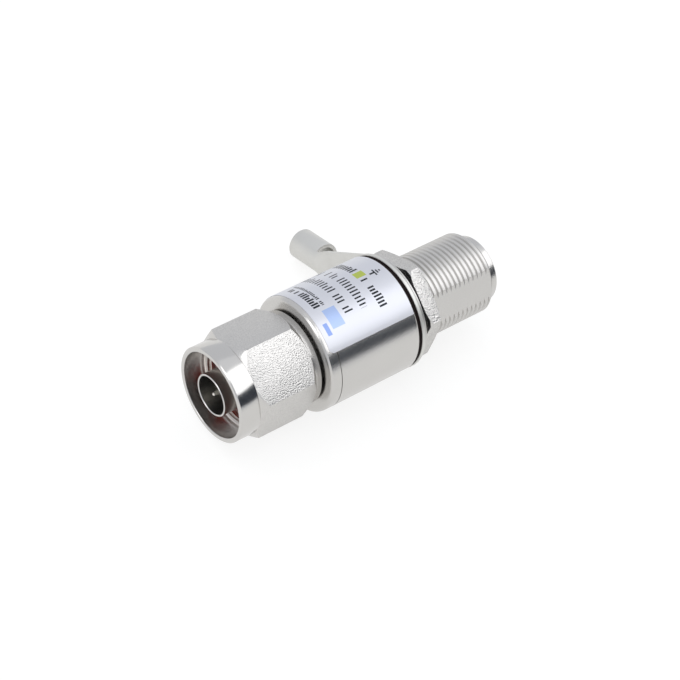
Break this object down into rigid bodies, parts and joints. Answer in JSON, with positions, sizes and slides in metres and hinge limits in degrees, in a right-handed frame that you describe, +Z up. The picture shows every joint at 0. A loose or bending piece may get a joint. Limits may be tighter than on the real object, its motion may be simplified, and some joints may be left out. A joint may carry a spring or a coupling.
{
  "type": "coaxial surge arrestor",
  "caption": "Turned coaxial surge arrestor with a hex coupling plug, a threaded bulkhead jack, a wrapped label, an earth lug, a lock washer and a panel nut.",
  "frame": {"origin": "centre of the barrel's flat rear face, where the part seats on a panel", "axes": "+X along the line from plug to jack, +Z up as it lies on its side on the barrel and the tip of the earth lug"},
  "size_m": [0.0609, 0.0391, 0.0224],
  "materials": {
    "plated_brass": "bright nickel plate on turned brass",
    "plated_lug": "tinned copper sheet",
    "spring_steel": "bright spring steel",
    "contact_gold": "gold plate",
    "silver_plate": "silver plate on brass",
    "red_silicone": "silicone rubber",
    "black_rubber": "black rubber",
    "ptfe": "white moulded plastic",
    "label_film": "white printed film",
    "ceramic": "ceramic with metal ends"
  },
  "bodies": {
    "arrestor": {"nut_retaining_ring": "spring_steel", "plug_gasket": "red_silicone", "plug_body": "plated_brass", "plug_pin": "contact_gold", "front_bead": "ptfe", "shell_body": "plated_brass", "cap_seal": "black_rubber", "label": "label_film", "cavity_block": "silver_plate", "centre_conductor": "silver_plate", "gas_tube": "ceramic", "tube_spring": "spring_steel", "tube_plug": "silver_plate", "rear_bead": "ptfe", "jack_bead": "ptfe", "jack_socket": "contact_gold", "panel_seal": "black_rubber"},
    "coupling_nut": {"coupling_nut": "plated_brass"},
    "ground_lug": {"ground_lug": "plated_lug"},
    "lock_washer": {"lock_washer": "plated_brass"},
    "panel_nut": {"panel_nut": "plated_brass"}
  },
  "joints": [
    {"name": "coupling_nut_spin", "type": "hinge", "parent": "arrestor", "child": "coupling_nut", "pos_m": [-0.029, 0, 0], "axis": [1, 0, 0], "continuous": true},
    {"name": "ground_lug_swivel", "type": "hinge", "parent": "arrestor", "child": "ground_lug", "pos_m": [0.001, 0, 0], "axis": [1, 0, 0], "continuous": true},
    {"name": "panel_nut_travel", "type": "slide", "parent": "arrestor", "child": "lock_washer", "axis": [1, 0, 0], "range_m": [0, 0.01378]},
    {"name": "panel_nut_turn", "type": "hinge", "parent": "lock_washer", "child": "panel_nut", "pos_m": [0.0037, 0, 0], "axis": [1, 0, 0], "range_deg": [0, 4680]}
  ],
  "couplings": [
    {"joint": "panel_nut_travel", "follows": "panel_nut_turn", "m_per_rad": 0.00016844}
  ]
}
